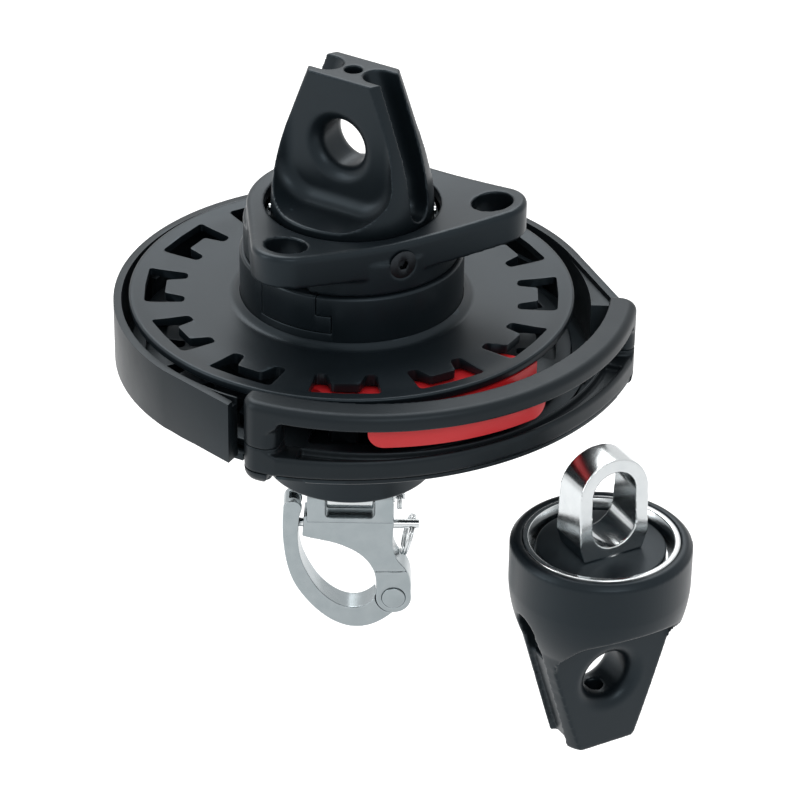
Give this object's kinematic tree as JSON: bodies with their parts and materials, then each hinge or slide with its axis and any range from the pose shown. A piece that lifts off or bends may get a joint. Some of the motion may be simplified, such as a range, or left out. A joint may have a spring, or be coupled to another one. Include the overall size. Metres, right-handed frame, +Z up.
{
  "type": "top-down furler",
  "caption": "Furling drum with a windowed line groove, guard band, fairlead, tack swivel, cable tower and snap shackle, shown with its eyed head swivel.",
  "frame": {"origin": "on the drum's axis, midway between the two sheaves of the line groove", "axes": "+Z up the furling cable along the drum's axis, +X to the right along the shackle's clevis pin, -Y towards the fairlead's side"},
  "size_m": [0.2415, 0.2307, 0.2688],
  "materials": {
    "black_anodised": "hard anodised, satin",
    "black_composite": "moulded, satin",
    "red_composite": "moulded, satin",
    "polished_stainless": "polished",
    "bearing_steel": "ground",
    "bearing_plastic": "moulded",
    "screw_steel": "blackened"
  },
  "bodies": {
    "base": {"center_stem": "polished_stainless", "base_hub": "black_anodised", "lower_race": "bearing_steel", "lower_balls": "bearing_steel", "carrier_plate": "black_composite", "carrier_screws": "screw_steel", "guard_band": "black_composite", "band_screws": "screw_steel", "fairlead_upper": "black_composite", "fairlead_lower": "black_composite", "fairlead_screws": "screw_steel", "line_stripper": "red_composite", "stripper_screws": "screw_steel", "stem_nut": "bearing_steel"},
    "drum": {"drum_hub": "black_anodised", "upper_sheave": "black_anodised", "lower_sheave": "black_anodised", "sheave_screws": "screw_steel", "retaining_ring": "black_anodised", "retaining_key": "black_anodised", "cable_terminal": "black_anodised", "terminal_pin": "polished_stainless", "thrust_race": "bearing_steel", "stem_bushing": "bearing_plastic"},
    "ball_set": {"thrust_balls": "bearing_steel", "ball_cage": "bearing_plastic"},
    "tack_swivel": {"tack_plate": "black_anodised", "tack_balls": "bearing_steel", "ball_plug_screw": "screw_steel"},
    "shackle": {"shackle_body": "polished_stainless", "clevis_pin": "polished_stainless", "clevis_ring": "polished_stainless", "gate_rivet": "polished_stainless", "plunger_spring": "polished_stainless", "plunger_guide": "polished_stainless"},
    "gate": {"shackle_gate": "polished_stainless"},
    "plunger": {"plunger_pin": "polished_stainless", "plunger_ring": "polished_stainless"},
    "head": {"head_housing": "black_anodised", "head_retaining_ring": "polished_stainless", "head_race": "bearing_steel"},
    "head_turning": {"head_eye": "polished_stainless", "head_cover": "black_anodised", "head_nut": "bearing_steel", "head_balls": "bearing_steel"}
  },
  "joints": [
    {"name": "drum_spin", "type": "hinge", "parent": "base", "child": "drum", "pos_m": [0, 0, 0], "axis": [0, 0, 1], "continuous": true},
    {"name": "ball_set_spin", "type": "hinge", "parent": "base", "child": "ball_set", "pos_m": [0, 0, 0.0235], "axis": [0, 0, 1], "continuous": true},
    {"name": "tack_swivel_spin", "type": "hinge", "parent": "drum", "child": "tack_swivel", "pos_m": [0, 0, 0.047], "axis": [0, 0, 1], "continuous": true},
    {"name": "shackle_pivot", "type": "hinge", "parent": "base", "child": "shackle", "pos_m": [0, 0, -0.086], "axis": [1, 0, 0], "range_deg": [-60, 60]},
    {"name": "gate_open", "type": "hinge", "parent": "shackle", "child": "gate", "pos_m": [0.0195, 0, -0.1362], "axis": [0, -1, 0], "range_deg": [0, 100]},
    {"name": "plunger_pull", "type": "slide", "parent": "shackle", "child": "plunger", "axis": [1, 0, 0], "range_m": [0, 0.0065], "stiffness_N_per_m": 900, "springref_m": -0.008, "deforming": ["plunger_spring"]},
    {"name": "head_lift", "type": "slide", "parent": "base", "child": "head", "axis": [0.5122, -0.4872, 0.7073], "range_m": [0, 0.06]},
    {"name": "head_eye_spin", "type": "hinge", "parent": "head", "child": "head_turning", "pos_m": [0.104, -0.0894, -0.0494], "axis": [0, 0, 1], "continuous": true}
  ],
  "couplings": [
    {"joint": "ball_set_spin", "follows": "drum_spin", "ratio": 0.5}
  ]
}
